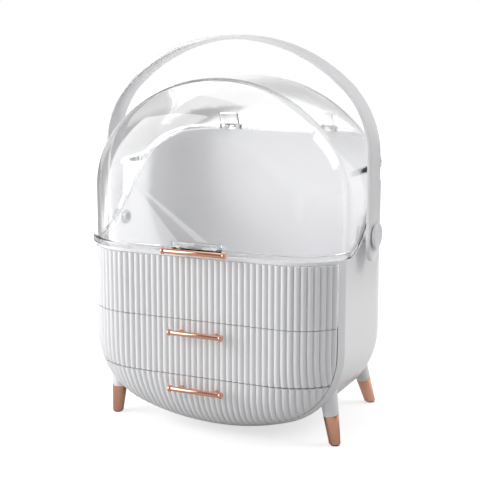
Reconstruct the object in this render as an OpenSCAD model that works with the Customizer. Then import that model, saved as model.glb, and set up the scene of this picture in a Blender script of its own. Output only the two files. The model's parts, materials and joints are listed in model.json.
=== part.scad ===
// Dustproof make-up organiser: a rounded case on four splayed feet, two fluted drawers, a compartment
// under a clear lifting cover and an arched carry handle.
// Millimetres. X runs to the right, Y to the back, Z up. The feet rest on Z = 0 and the origin lies
// in the middle of the footprint.

/* [Case outline] */
// Half of the case's width
half_w = 134; // [120:1:150]
// Lowest point of the rounded bottom
bottom_z = 7; // [4:1:20]
// Radius of the two lower corners
corner_radius = 80; // [60:2:100]
// Height at which the sides start to curve into the arched top
spring_z = 241; // [220:1:260]
// Radius of the arch where it leaves the sides
arch_radius = 92; // [80:1:105]

/* [Case depth] */
// Front face
front_y = -91; // [-100:1:-80]
// Rear face
rear_y = 96; // [85:1:110]
// Radius that rounds the front edge
front_fillet = 56; // [45:1:70]
// How far in from the outline the front edge starts to round; less than the radius, so a crease is left
front_inset = 53; // [40:1:56]
// Radius that rounds the rear edge
rear_fillet = 59; // [45:1:70]
// Case wall
wall = 3; // [2:0.5:4]
// Smooth frame left round the fluted fronts
frame_w = 4; // [3:0.5:6]

/* [Rim and cover] */
// Height of the rim at the front
rim_low_z = 187; // [180:1:195]
// Depth position at which the rim starts to climb
rim_bend_y = -57; // [-65:1:-45]
// Height of the rim at the back
rim_high_z = 290; // [275:1:300]
// Radius of the rim's lower bend
rim_low_r = 60; // [40:2:80]
// Radius of the rim's upper bend
rim_high_r = 50; // [30:2:70]
// Wall of the clear cover
cover_wall = 2.5; // [1.5:0.5:4]
// Height of the flange round the cover's edge
flange_h = 5; // [3:0.5:8]
// How far that flange stands out
flange_out = 4.5; // [3:0.5:6]

/* [Fluted fronts] */
// Flutes across the fixed panel
flutes = 45; // [31:2:61]
// Flutes across the lower drawer, where the body is narrower
low_flutes = 41; // [29:2:57]
// Radius of one half-round flute
flute_r = 3.3; // [3.2:0.1:4]
// Thickness of the fronts behind the flutes
front_t = 4.2; // [3:0.1:5]
// Top of the fixed panel
panel_top_z = 182.6; // [170:0.2:184]
// Height of the gap between fixed panel and upper drawer
seam_high_z = 122; // [115:0.5:130]
// Height of the gap between the drawers
seam_low_z = 66; // [60:0.5:72]
// Width of those gaps
seam_w = 0.8; // [0.4:0.1:1.5]

/* [Drawers] */
// Gap between the case and the upper tray on each side
tray_gap = 14; // [12:1:30]
// Rear end of both trays
tray_rear_y = 58; // [40:1:80]
// Wall and floor of the trays
tray_wall = 2; // [1.5:0.5:3]
// Top of the upper tray's walls
tray_high_top = 115; // [100:1:116]
// Top of the lower tray's walls
tray_low_top = 59; // [48:1:60]
// Travel before a tray meets its stops
travel = 118; // [80:1:125]

/* [Pulls] */
// Radius of the round pulls
pull_r = 2.5; // [2:0.1:4]
// Length of the drawer pulls
pull_len = 58; // [45:1:70]
// Length of the cover's pull
cover_pull_len = 68; // [50:1:80]
// Height of the upper drawer's pull
pull_high_z = 110; // [100:1:114]
// Height of the lower drawer's pull
pull_low_z = 54; // [45:1:58]
// Height of the cover's pull
cover_pull_z = 189.8; // [188:0.1:192]

/* [Handle] */
// Gap between the case and the handle on each side
handle_gap = 7.5; // [7:0.5:12]
// Height at which its arms start to curve
handle_spring_z = 278.2; // [260:0.2:300]
// Radius where the arms start to curve
handle_radius = 92; // [80:1:105]
// Width of the handle band
handle_w = 28; // [20:1:36]
// Thickness of the handle band
handle_t = 4; // [3:0.5:6]
// Depth position of the pivots
pivot_y = -6.5; // [-15:0.5:5]
// Height of the pivots
pivot_z = 202; // [195:0.5:204]
// Radius of the round pivot caps
cap_r = 12.3; // [10:0.1:14]

/* [Feet] */
// How far in from the case's side a front foot stands
front_foot_in = 12; // [8:1:30]
// Depth position of the front feet
front_foot_y = -43; // [-60:1:-30]
// How far in from the case's side a rear foot stands
rear_foot_in = 24; // [15:1:40]
// How far behind the rear face a rear foot stands
rear_foot_out = 3; // [-10:1:5]
// Length of the metal sleeve on a leg
sleeve_len = 31; // [25:1:38]
// Radius of a leg at the ground
foot_r = 5.5; // [4:0.5:7]
// Radius of a leg at the top of its sleeve
sleeve_r = 7.6; // [6.5:0.1:9]

/* [Hidden] */
$fn = 96;
fit = 0.3;
white = [0.93, 0.93, 0.94];
clear = [0.85, 0.92, 0.97, 0.35];
copper = [0.86, 0.56, 0.44];
steel = [0.75, 0.76, 0.78];
dark = [0.15, 0.15, 0.16];
far = 300;
deg = 180 / PI;

// Case outline: its arcs meet on the sides of a 12-35-37 triangle below and a 20-21-29 triangle above, so
// that centres, radii and meeting planes are round numbers
low_ray = [12, -35];
high_ray = [21, 20];
corner_cx = snap(half_w - corner_radius, 0.12);
corner_r = half_w - corner_cx;
bottom_r = snap(corner_r + corner_cx / low_ray[0] * norm(low_ray), 0.01);
bottom_cz = bottom_z + bottom_r;
corner_cz = snap(bottom_cz + corner_cx / low_ray[0] * low_ray[1], 0.01);
bottom_half = atan2(low_ray[0], -low_ray[1]);
arch_side_cx = snap(half_w - arch_radius, 0.21);
arch_side_r = half_w - arch_side_cx;
arch_top_r = snap(arch_side_r + arch_side_cx / high_ray[0] * norm(high_ray), 0.01);
arch_top_cz = snap(spring_z - arch_side_cx / high_ray[0] * high_ray[1], 0.01);

// Depth: centres of the front and rear rounding
front_cy = front_y + front_fillet;
rear_cy = rear_y - rear_fillet;
flat_half = half_w - front_inset;

// Rim seen from the side: two bends joined by a straight 45 degree slope
slope = sqrt(0.5);
rim_low_cz = rim_low_z + rim_low_r;
rim_high_cz = rim_high_z - rim_high_r;
rim_high_cy = rim_high_cz - rim_low_cz + rim_bend_y + (rim_low_r + rim_high_r) / slope;

// Fluted fronts
edge = frame_w + 0.5;
front_reach = flat_half + front_fillet * asin((front_inset - edge) / front_fillet) / deg;
pitch = 2 * front_reach / flutes;
flute_sink = root(pow(flute_r, 2) - pow(pitch / 2, 2));
crest = flute_r - flute_sink;
steps = 4;
edge_corner_r = corner_r - edge;
edge_bottom_r = bottom_r - edge;
seam_high_top = seam_high_z + seam_w / 2;
seam_high_low = seam_high_z - seam_w / 2;
seam_low_top = seam_low_z + seam_w / 2;
seam_low_low = seam_low_z - seam_w / 2;

// Inside: decks, trays, runners
deck_t = 3;
deck_high_z = seam_high_z - deck_t;
deck_low_z = seam_low_z - deck_t;
inner = front_t + fit;
tray_half_w = half_w - tray_gap;
tray_high_z = seam_low_z + 2;
runner_h = tray_high_z - seam_low_z - 0.1;
runner_x = tray_half_w - 20;
runner_w = 8;
runner_len = 120;
stop_len = 8;
stop_h = 2.8;
stop_front_y = tray_rear_y - 10 - travel - fit - stop_len;
catch_x = 60;
catch_w = 10;

// Pulls
post_x = 3 * pitch;
post_r = 2;
pull_y = front_y - crest - 8.5;
knob_r = 3.2;
knob_t = 3;
screw_r = 1.5;
screw_head_r = 3;
cover_head_r = 2.4;
screw_head_t = 1.6;
low_head_gap = 1.1;
cover_pull_y = front_y - 16 + knob_r;
plate_w = 52;
plate_h = 11;
plate_t = 2;
flange_front_y = front_y - flange_out;

// Hinge
hinge_r = 3.5;
hinge_y = rear_y + 7.5;
hinge_z = rim_high_z + 3;
hinge_x = half_w - 79;
pin_r = 1.2;
knuckle_w = 9.8;
bracket_w = 19.6;
bracket_t = 2.5;

// Handle: its arcs also meet on a 20-21-29 triangle
handle_ray = [20, 21];
handle_half_w = half_w + handle_gap + handle_t;
handle_side_cx = snap(handle_half_w - handle_radius, 0.1);
handle_side_r = handle_half_w - handle_side_cx;
handle_top_r = handle_side_r + handle_side_cx / handle_ray[0] * norm(handle_ray);
handle_top_cz = handle_spring_z - handle_side_cx / handle_ray[0] * handle_ray[1];
handle_in_x = handle_half_w - handle_t;
stem_r = 4;
bush_r = 6;
cap_t = 4.4;
boss_r = 6.5;
nut_r = 7.5;
nut_t = 4;

// Feet: where a leg's axis meets the ground, and a higher point of it inside the case
front_foot = [half_w - front_foot_in, front_foot_y];
front_leg_top = [front_foot[0] - 7.6, front_foot_y - 3, 58];
rear_foot = [half_w - rear_foot_in, rear_y + rear_foot_out];
rear_leg_top = [rear_foot[0] - 11, rear_foot[1] - 23, 64];
pad_h = 1;
pad_r = 4.4;
stud_r = 2.4;
leg_flare = (sleeve_r - foot_r) / sleeve_len;

// ---------------------------------------------------------------- helpers

// Nearest multiple of a unit
function snap(v, unit) = round(v / unit) * unit;

// Square root that takes a value a hair below nought as nought
function root(v) = sqrt(max(0, v));

// Slice of a disc between two angles less than a half turn apart
module slice(r, from, to) {
    intersection() {
        circle(r);
        polygon([[0, 0], 2 * r * [cos(from), sin(from)],
                 2 * r * [cos((from + to) / 2), sin((from + to) / 2)], 2 * r * [cos(to), sin(to)]]);
    }
}

// Disc cut down to a little more than the quarter that points away from the axis, up (1) or down (-1)
module round_edge(r, up) {
    overlap = 5;
    intersection() {
        circle(r);
        translate([-overlap, up > 0 ? -overlap : overlap - 2 * r]) square([2 * r, 2 * r]);
    }
}

// Section through the body from an arc's centre out to the outline at distance reach, moved out by grow
module depth_profile(reach, grow) {
    overlap = 5;
    translate([0, front_y - grow]) square([reach - front_inset, front_fillet + grow]);
    intersection() {
        translate([reach - front_inset, front_cy]) round_edge(front_fillet + grow, -1);
        translate([0, -far]) square([reach + grow, 2 * far]);
    }
    translate([0, front_cy - overlap]) square([reach + grow, rear_cy - front_cy + overlap]);
    translate([0, front_cy]) square([reach - rear_fillet, rear_y + grow - front_cy]);
    translate([reach - rear_fillet, rear_cy]) round_edge(rear_fillet + grow, 1);
}

// The same section as a wall between two offsets
module wall_profile(reach, outer, inner) {
    difference() {
        depth_profile(reach, outer);
        depth_profile(reach, inner);
    }
}

// Everything inside a cell of the front view; the cell is drawn from a corner of the outline
module cell_block(corner, cell) {
    translate([corner[0], far, corner[1]]) rotate([90, 0, 0]) linear_extrude(2 * far) polygon(cell);
}

// Turns a section about a centre on the front view
module turned(centre) {
    translate([centre[0], 0, centre[1]]) rotate([-90, 0, 0]) rotate_extrude() children();
}

// Arcs about a corner and its mirror image, from level with the corner round to a ray
module side_sectors(corner, ray) {
    for (side = [0, 1]) mirror([side, 0, 0]) intersection() {
        turned(corner) children();
        cell_block(corner, [[0, 0], ray, [far, ray[1]], [far, 0]]);
    }
}

// Arc over the middle, between the rays from a corner and its mirror image
module middle_sector(centre_z, corner, ray) {
    intersection() {
        turned([0, centre_z]) children();
        shared_with_mirror() cell_block(corner, [[0, 0], ray, [-2 * far, ray[1]], [-2 * far, 0]]);
    }
}

// What a child and its mirror image share
module shared_with_mirror() {
    intersection() {
        children();
        mirror([1, 0, 0]) children();
    }
}

// Each part of the outline in turn; the child draws the section for $reach
module lower_sectors() {
    bottom_sector() children();
    corner_sectors() children();
}

module bottom_sector() {
    $reach = bottom_r;
    middle_sector(bottom_cz, [corner_cx, corner_cz], 10 * low_ray) children();
}

module corner_sectors() {
    $reach = corner_r;
    side_sectors([corner_cx, corner_cz], 10 * low_ray) children();
}

module upper_sectors() {
    $reach = arch_side_r;
    side_sectors([arch_side_cx, spring_z], 10 * high_ray) children();
    top_sector() children();
}

module top_sector() {
    $reach = arch_top_r;
    middle_sector(arch_top_cz, [arch_side_cx, spring_z], 10 * high_ray) children();
}

// Part of the body between two heights where the sides are straight
module straight_part(from_z, to_z) {
    $reach = half_w;
    translate([0, 0, from_z]) linear_extrude(to_z - from_z) {
        children();
        mirror([1, 0]) children();
    }
}

// Solid body below a height inside the straight part
module lower_body(grow, top_z) {
    lower_sectors() depth_profile($reach, grow);
    straight_part(corner_cz, top_z) depth_profile($reach, grow);
}

// Turns a section about a centre of the front view; angles run from +X towards the ground
module arc(cx, cz, from, sweep) {
    translate([cx, 0, cz]) rotate([-90, 0, 0]) rotate([0, 0, from]) rotate_extrude(angle = sweep) children();
}

// Extrudes a side view (Y, Z) to both sides
module along_x(half) {
    translate([-half, 0, 0]) rotate([90, 0, 90]) linear_extrude(2 * half) children();
}

// Round bar along X
module bar_x(r, from, to) {
    translate([from, 0, 0]) rotate([0, 90, 0]) cylinder(r = r, h = to - from);
}

// Round bar along Y
module bar_y(r, from, to) {
    translate([0, from, 0]) rotate([-90, 0, 0]) cylinder(r = r, h = to - from);
}

// Rim line seen from the side, raised by grow: flat, lower bend, straight slope, upper bend, flat
function rim_line(grow) =
    let (low = rim_low_r - grow, high = rim_high_r + grow, step = 5)
    concat([[-far, rim_low_z + grow]],
           [for (a = [0 : step : 45]) [rim_bend_y + low * sin(a), rim_low_cz - low * cos(a)]],
           [for (a = [45 : -step : 0]) [rim_high_cy - high * sin(a), rim_high_cz + high * cos(a)]],
           [[far, rim_high_z + grow]]);

// Side view of everything under the rim line
module rim_region(grow) {
    polygon(concat(rim_line(grow), [[far, -far], [-far, -far]]));
}

// ---------------------------------------------------------------- fluted fronts

// Distance of a point of the front view inside the outline
function inside(x, z) =
    z >= corner_cz ? half_w - abs(x)
    : atan2(abs(x), bottom_cz - z) < bottom_half ? bottom_r - norm([x, bottom_cz - z])
    : corner_r - norm([abs(x) - corner_cx, corner_cz - z]);

// Direction of the nearest outline in the front view
function outward(x, z) =
    z >= corner_cz ? [sign(x), 0]
    : atan2(abs(x), bottom_cz - z) < bottom_half ? [x, z - bottom_cz] / norm([x, z - bottom_cz])
    : [sign(x) * (abs(x) - corner_cx), z - corner_cz] / norm([abs(x) - corner_cx, z - corner_cz]);

// Point on the rounded front, moved out by off along its normal
function skin(x, z, off) =
    let (s = max(0, front_inset - inside(x, z)) / front_fillet, c = sqrt(1 - s * s), g = outward(x, z))
    [x + g[0] * s * off, front_cy - (front_fillet + off) * c, z + g[1] * s * off];

// Sideways position of a flute from its distance along the front
function flute_x(s) =
    abs(s) < flat_half ? s
    : sign(s) * (flat_half + front_fillet * sin((abs(s) - flat_half) / front_fillet * deg));

// Distance along the front of a sideways position
function flute_s(x) =
    x < flat_half ? x : flat_half + front_fillet * asin((x - flat_half) / front_fillet) / deg;

// Edge of the fluted fronts: its half width at a height, and its height at a sideways position
function edge_x(z) = corner_cx + sqrt(pow(edge_corner_r, 2) - pow(corner_cz - z, 2));
function edge_z(x) =
    abs(x) > corner_cx + edge_corner_r * sin(bottom_half)
    ? corner_cz - root(pow(edge_corner_r, 2) - pow(abs(x) - corner_cx, 2))
    : bottom_cz - sqrt(pow(edge_bottom_r, 2) - x * x);

// Height of the half-round bead at a step across a flute
function bead(step, width) =
    let (off = (step % steps) / steps - 0.5, at = step % steps == 0 ? 0.5 : off)
    root(pow(flute_r, 2) - pow(at * width, 2)) - root(pow(flute_r, 2) - pow(width / 2, 2));

function blend(a, b, t) = a + (b - a) * t;
function limit(p, low, high) = [p[0], p[1], min(max(p[2], low), high)];

// Closed fluted plate. Column j starts at starts[j] on the upper edge and ends at ends[j]; a flute fades
// out over fade millimetres where its column ends on the frame.
module fluted_plate(starts, ends, count, width, rows, z_low, z_high, fade) {
    n = count * steps;
    row_t = [for (i = [0 : rows]) sin(90 * i / rows)];
    front = [for (i = [0 : rows]) for (j = [0 : n])
        let (x = blend(starts[j][0], ends[j][0], row_t[i]), z = blend(starts[j][1], ends[j][1], row_t[i]),
             left = (1 - row_t[i]) * (starts[j][1] - ends[j][1]),
             strength = ends[j][1] > z_low + 0.01 ? min(1, sqrt(left / fade)) : 1)
        limit(skin(x, z, bead(j, width) * strength), z_low, z_high)];
    back = [for (i = [0 : rows]) for (k = [0 : count])
        let (j = k * steps, x = blend(starts[j][0], ends[j][0], row_t[i]),
             z = blend(starts[j][1], ends[j][1], row_t[i]))
        limit(skin(x, z, -front_t), z_low, z_high)];
    first_back = (rows + 1) * (n + 1);
    function f(i, j) = i * (n + 1) + j;
    function b(i, k) = first_back + i * (count + 1) + k;
    front_faces = [for (i = [0 : rows - 1]) for (j = [0 : n - 1]) each [
        [f(i, j), f(i, j + 1), f(i + 1, j + 1)], [f(i, j), f(i + 1, j + 1), f(i + 1, j)]]];
    back_faces = [for (i = [0 : rows - 1]) for (k = [0 : count - 1]) each [
        [b(i, k), b(i + 1, k), b(i + 1, k + 1)], [b(i, k), b(i + 1, k + 1), b(i, k + 1)]]];
    side_faces = [for (i = [0 : rows - 1]) each [
        [b(i, 0), f(i, 0), f(i + 1, 0)], [b(i, 0), f(i + 1, 0), b(i + 1, 0)],
        [f(i, n), b(i, count), b(i + 1, count)], [f(i, n), b(i + 1, count), f(i + 1, n)]]];
    half = steps / 2;
    top_faces = [for (k = [0 : count - 1]) each [
        for (m = [0 : half - 1]) [b(0, k), f(0, k * steps + m + 1), f(0, k * steps + m)],
        [b(0, k), b(0, k + 1), f(0, k * steps + half)],
        for (m = [half : steps - 1]) [b(0, k + 1), f(0, k * steps + m + 1), f(0, k * steps + m)]]];
    low_faces = [for (k = [0 : count - 1]) each [
        for (m = [0 : half - 1]) [b(rows, k), f(rows, k * steps + m), f(rows, k * steps + m + 1)],
        [b(rows, k), f(rows, k * steps + half), b(rows, k + 1)],
        for (m = [half : steps - 1]) [b(rows, k + 1), f(rows, k * steps + m), f(rows, k * steps + m + 1)]]];
    polyhedron(concat(front, back), concat(front_faces, back_faces, side_faces, top_faces, low_faces));
}

// Seats for the two posts of a pull and holes for its screws
module pull_holes(z) {
    for (side = [-1, 1]) translate([side * post_x, 0, z]) {
        bar_y(post_r + 0.1, front_y - far, front_y);
        bar_y(screw_r + 0.1, front_y - 1, front_y + front_t + 1);
    }
}

// ---------------------------------------------------------------- case

module case_shell() color(white) difference() {
    intersection() {
        union() {
            lower_sectors() wall_profile($reach, 0, -wall);
            straight_part(corner_cz, spring_z) wall_profile($reach, 0, -wall);
            upper_sectors() wall_profile($reach, 0, -wall);
        }
        along_x(half_w + 5) rim_region(0);
    }
    front_opening();
    translate([0, pivot_y, pivot_z]) bar_x(stem_r + 0.05, -half_w - 1, half_w + 1);
}

// Cut for the fluted fronts, inside the smooth frame
module front_opening() {
    top = panel_top_z + 0.4;
    translate([0, front_cy + 5, 0]) rotate([90, 0, 0]) linear_extrude(front_fillet + 15) intersection() {
        union() {
            translate([0, bottom_cz]) slice(bottom_r - frame_w, -90 - bottom_half, -90 + bottom_half);
            for (side = [-1, 1]) translate([side * corner_cx, corner_cz]) circle(corner_r - frame_w);
            translate([frame_w - half_w, corner_cz]) square([2 * (half_w - frame_w), top - corner_cz]);
        }
        translate([-far, -far]) square([2 * far, far + top]);
    }
}

module front_panel() color(white) {
    sunk = flute_sink - 0.1;
    translate([0, 0, seam_high_top]) linear_extrude(panel_top_z - seam_high_top) difference() {
        union() {
            intersection() {
                panel_strip();
                translate([edge - half_w, -far]) square([2 * (half_w - edge), far + front_cy - 10]);
            }
            intersection() {
                for (k = [-(flutes - 1) / 2 : (flutes - 1) / 2]) flute_disc(k * pitch, sunk);
                translate([edge - half_w, -far]) square([2 * (half_w - edge), far + front_cy]);
            }
        }
    }
    translate([-100, front_y + front_t - 0.2, seam_high_top]) cube([200, 8, 2]);
}

module panel_strip() {
    difference() {
        union() {
            depth_profile(half_w, 0);
            mirror([1, 0]) depth_profile(half_w, 0);
        }
        union() {
            depth_profile(half_w, -front_t);
            mirror([1, 0]) depth_profile(half_w, -front_t);
        }
    }
}

module flute_disc(s, sunk) {
    turn = max(0, abs(s) - flat_half) / front_fillet * deg;
    x = flute_x(s) - sign(s) * sunk * sin(turn);
    translate([x, front_cy - (front_fillet - sunk) * cos(turn)]) circle(flute_r, $fn = 24);
}

module deck(z) {
    intersection() {
        translate([-far, -far, z]) cube([2 * far, 2 * far, deck_t]);
        lower_body(-inner, seam_high_z + 10);
    }
}

module upper_deck() color(white) {
    deck(deck_high_z);
    side_tongues(half_w - wall - fit, deck_high_z);
}

module lower_deck() color(white) {
    deck(deck_low_z);
    inner_r = corner_r - wall;
    side_tongues(corner_cx + sqrt(pow(inner_r, 2) - pow(corner_cz - deck_low_z, 2)) - fit, deck_low_z);
}

// Widening of a deck between the fillets, up to the case walls
module side_tongues(half, z) {
    translate([-half, front_cy, z]) cube([2 * half, rear_cy - front_cy, deck_t]);
}

module upper_runners() color(white) {
    for (side = [-1, 1])
        translate([side * runner_x - runner_w / 2, front_y + 25, seam_low_z])
            cube([runner_w, runner_len, runner_h]);
}

module lower_runners() color(white) {
    for (side = [-1, 1])
        arc(0, bottom_cz, 90 - side * 16 - 1, 2)
            translate([bottom_r - inner + 0.1, front_cy + 5])
                square([inner - wall - 0.1 - fit, rear_cy - front_cy - 6]);
}

module drawer_stops() color(white) {
    for (z = [deck_high_z, deck_low_z]) for (side = [-1, 1])
        translate([side * catch_x - catch_w / 2, stop_front_y, z - stop_h]) cube([catch_w, stop_len, stop_h]);
}

// ---------------------------------------------------------------- drawers

module catches(top) {
    for (side = [-1, 1])
        translate([side * catch_x - catch_w / 2, tray_rear_y - 10, top - 6]) cube([catch_w, 10, 6 + stop_h]);
}

module upper_tray() color(white) difference() {
    union() {
        difference() {
            intersection() {
                lower_body(-inner, tray_high_top);
                translate([-tray_half_w, -far, tray_high_z])
                    cube([2 * tray_half_w, far + tray_rear_y, tray_high_top - tray_high_z]);
            }
            intersection() {
                lower_body(-inner - tray_wall, tray_high_top + 1);
                translate([tray_wall - tray_half_w, -far, tray_high_z + tray_wall])
                    cube([2 * (tray_half_w - tray_wall), far + tray_rear_y - tray_wall, far]);
            }
        }
        catches(tray_high_top);
    }
    tray_screw_holes(pull_high_z);
}

module lower_tray() color(white) difference() {
    union() {
        difference() {
            intersection() {
                lower_sectors() depth_profile($reach, -inner);
                translate([-far, -far, 0]) cube([2 * far, far + tray_rear_y, tray_low_top]);
            }
            intersection() {
                lower_sectors() depth_profile($reach, -inner - tray_wall);
                translate([-far, -far, 0]) cube([2 * far, far + tray_rear_y - tray_wall, far]);
            }
        }
        catches(tray_low_top);
    }
    tray_screw_holes(pull_low_z);
}

module tray_screw_holes(z) {
    for (side = [-1, 1]) translate([side * post_x, 0, z]) bar_y(screw_r + 0.1, front_y, front_y + 12);
}

module upper_front() color(white) {
    n = flutes * steps;
    starts = [for (j = [0 : n]) [flute_x(front_reach * (2 * j / n - 1)), seam_high_low]];
    ends = [for (j = [0 : n]) let (x = starts[j][0] * 0.999) [x, max(seam_low_top, edge_z(x))]];
    difference() {
        fluted_plate(starts, ends, flutes, pitch, 6, seam_low_top, seam_high_low, 8);
        pull_holes(pull_high_z);
    }
}

module lower_front() color(white) {
    n = low_flutes * steps;
    top_x = edge_x(seam_low_low);
    reach = flute_s(top_x);
    ratio = edge_x(seam_low_low - 4) / top_x;
    taper = 0.1;
    starts = [for (j = [0 : n]) [flute_x(reach * (2 * j / n - 1)), seam_low_low]];
    ends = [for (j = [0 : n])
        let (x = starts[j][0] * ratio * (1 - taper * (1 - pow(starts[j][0] / top_x, 2)))) [x, edge_z(x)]];
    difference() {
        fluted_plate(starts, ends, low_flutes, 2 * reach / low_flutes, 12, bottom_z, seam_low_low, 8);
        pull_holes(pull_low_z);
    }
}

// A round pull with knobs at its ends and two posts back to the front it sits on
module pull(length, y, z, seat_y) {
    difference() {
        union() {
            translate([0, y, z]) bar_x(pull_r, -length / 2, length / 2);
            for (side = [-1, 1]) {
                translate([side * (length - knob_t) / 2, y, z]) bar_x(knob_r, -knob_t / 2, knob_t / 2);
                translate([side * post_x, 0, z]) bar_y(post_r, y, seat_y);
            }
        }
        for (side = [-1, 1]) translate([side * post_x, 0, z]) bar_y(screw_r + 0.02, seat_y - 7, seat_y + 1);
    }
}

// The two screws of a pull, with their heads behind the sheet they hold
module pull_screws(z, seat_y, head_y, head_r) {
    for (side = [-1, 1]) translate([side * post_x, 0, z]) {
        bar_y(screw_r, seat_y - 6, head_y);
        bar_y(head_r, head_y, head_y + screw_head_t);
    }
}

module upper_pull() color(copper) pull(pull_len, pull_y, pull_high_z, front_y);

module lower_pull() color(copper) pull(pull_len, pull_y, pull_low_z, front_y);

module upper_pull_screws() color(steel)
    pull_screws(pull_high_z, front_y, front_y + inner + tray_wall, screw_head_r);

module lower_pull_screws() color(steel)
    pull_screws(pull_low_z, front_y, front_y + inner + tray_wall + low_head_gap, screw_head_r);

// ---------------------------------------------------------------- cover

module cover() color(clear) difference() {
    union() {
        intersection() {
            union() {
                straight_part(rim_low_z - 2, spring_z) wall_profile($reach, 0, -cover_wall);
                upper_sectors() wall_profile($reach, 0, -cover_wall);
            }
            along_x(half_w + 5) polygon(concat(rim_line(fit), [[far, 2 * far], [-far, 2 * far]]));
        }
        cover_flange();
    }
    for (side = [-1, 1]) translate([side * post_x, 0, cover_pull_z]) bar_y(screw_r + 0.1, -far, front_cy);
}

// Rim flange, left out where the two hinges pass it
module cover_flange() {
    notch = bracket_w + 2.4;
    difference() {
        intersection() {
            union() {
                straight_part(rim_low_z - 2, spring_z) wall_profile($reach, flange_out, -cover_wall / 2);
                upper_sectors() wall_profile($reach, flange_out, -cover_wall / 2);
            }
            along_x(half_w + 15) difference() {
                rim_region(fit + flange_h);
                rim_region(fit);
            }
        }
        for (side = [-1, 1])
            translate([side * hinge_x - notch / 2, rear_cy, rim_high_z]) cube([notch, far, 2 * flange_h]);
    }
}

// Conformal tabs on the back of the cover, each with the middle knuckle of its hinge
module hinge_tabs() color(clear) {
    difference() {
        for (side = [-1, 1]) translate([side * hinge_x, 0, 0]) {
            translate([0, hinge_y, hinge_z]) bar_x(hinge_r, -knuckle_w / 2, knuckle_w / 2);
            translate([-knuckle_w / 2, rear_y - 12, hinge_z - 0.5])
                cube([knuckle_w, hinge_y - rear_y + 12, hinge_r + 0.5]);
        }
        top_sector() depth_profile($reach, 0);
        translate([0, hinge_y, hinge_z]) bar_x(pin_r + 0.05, -far, far);
    }
    intersection() {
        top_sector() wall_profile($reach, bracket_t, 0);
        for (side = [-1, 1]) translate([side * hinge_x - bracket_w / 2, 0, hinge_z + 2.5])
            cube([bracket_w, far, 14]);
    }
}

module cover_pull_plate() color(clear) difference() {
    translate([-plate_w / 2, flange_front_y - plate_t, cover_pull_z - 2.4]) cube([plate_w, plate_t, plate_h]);
    for (side = [-1, 1]) translate([side * post_x, 0, cover_pull_z]) bar_y(post_r + 0.1, -far, front_y);
}

module cover_pull() color(copper) pull(cover_pull_len, cover_pull_y, cover_pull_z, flange_front_y);

module cover_pull_screws() color(steel)
    pull_screws(cover_pull_z, flange_front_y, front_y + cover_wall, cover_head_r);

module hinge_brackets() color(white) difference() {
    union() {
        intersection() {
            top_sector() wall_profile($reach, bracket_t, 0);
            for (side = [-1, 1]) translate([side * hinge_x - bracket_w / 2, 0, hinge_z - 25])
                cube([bracket_w, far, 18]);
        }
        for (side = [-1, 1]) for (ear = [-1, 1])
            translate([side * hinge_x + ear * (bracket_w + knuckle_w + 0.3) / 4, 0, 0]) {
                half = (bracket_w - knuckle_w - 0.6) / 4;
                translate([0, hinge_y, hinge_z]) bar_x(hinge_r, -half, half);
                translate([-half, rear_y + 0.4, hinge_z - 16])
                    cube([2 * half, hinge_y + hinge_r - rear_y - 0.4, 16]);
            }
    }
    translate([0, hinge_y, hinge_z]) bar_x(pin_r + 0.01, -far, far);
}

module hinge_pins() color(steel) {
    for (side = [-1, 1])
        translate([side * hinge_x, hinge_y, hinge_z]) bar_x(pin_r, -bracket_w / 2, bracket_w / 2);
}

// ---------------------------------------------------------------- handle

module handle_band(r) {
    translate([r - handle_t, pivot_y - handle_w / 2]) square([handle_t, handle_w]);
}

module carry_handle() color(white) {
    corner = [handle_side_cx, handle_spring_z];
    difference() {
        union() {
            side_sectors(corner, 10 * handle_ray) handle_band(handle_side_r);
            middle_sector(handle_top_cz, corner, 10 * handle_ray) handle_band(handle_top_r);
            for (side = [0, 1]) mirror([side, 0, 0]) handle_arm();
        }
        translate([0, pivot_y, pivot_z]) bar_x(bush_r + 0.02, -far, far);
    }
}

module handle_arm() {
    end_z = pivot_z - 11;
    translate([handle_in_x, pivot_y - handle_w / 2, handle_spring_z])
        mirror([0, 0, 1]) cube([handle_t, handle_w, handle_spring_z - end_z]);
    translate([0, pivot_y, end_z]) bar_x(handle_w / 2, handle_in_x, handle_half_w);
}

module handle_bushings() color(white) {
    for (side = [0, 1]) mirror([side, 0, 0]) translate([0, pivot_y, pivot_z]) difference() {
        bar_x(bush_r, handle_in_x, handle_half_w);
        bar_x(stem_r + 0.05, handle_in_x - 1, handle_half_w + 1);
    }
}

module pivot_caps() color(white) {
    for (side = [0, 1]) mirror([side, 0, 0]) translate([0, pivot_y, pivot_z]) {
        bar_x(cap_r, handle_half_w + 0.1, handle_half_w + cap_t);
        bar_x(stem_r, half_w - wall - nut_t, handle_half_w + 0.1);
    }
}

module pivot_bosses() color(white) {
    for (side = [0, 1]) mirror([side, 0, 0]) translate([0, pivot_y, pivot_z]) difference() {
        bar_x(boss_r, half_w, handle_in_x - 0.1);
        bar_x(stem_r + 0.02, half_w - 1, handle_in_x);
    }
}

module pivot_nuts() color(steel) {
    for (side = [0, 1]) mirror([side, 0, 0]) translate([0, pivot_y, pivot_z]) difference() {
        rotate([0, 90, 0]) translate([0, 0, half_w - wall - nut_t]) cylinder(r = nut_r, h = nut_t, $fn = 6);
        bar_x(stem_r + 0.02, half_w - wall - nut_t - 1, half_w);
    }
}

// ---------------------------------------------------------------- feet

// Puts a child on each leg's axis: the foot at its origin, +Z up the leg
module at_legs() {
    for (side = [0, 1]) mirror([side, 0, 0]) {
        on_axis([front_foot[0], front_foot[1], 0], front_leg_top) children();
        on_axis([rear_foot[0], rear_foot[1], 0], rear_leg_top) children();
    }
}

module on_axis(foot, top) {
    d = top - foot;
    translate(foot)
        rotate([0, 0, atan2(d[1], d[0])]) rotate([0, atan2(norm([d[0], d[1]]), d[2]), 0]) children();
}

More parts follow.
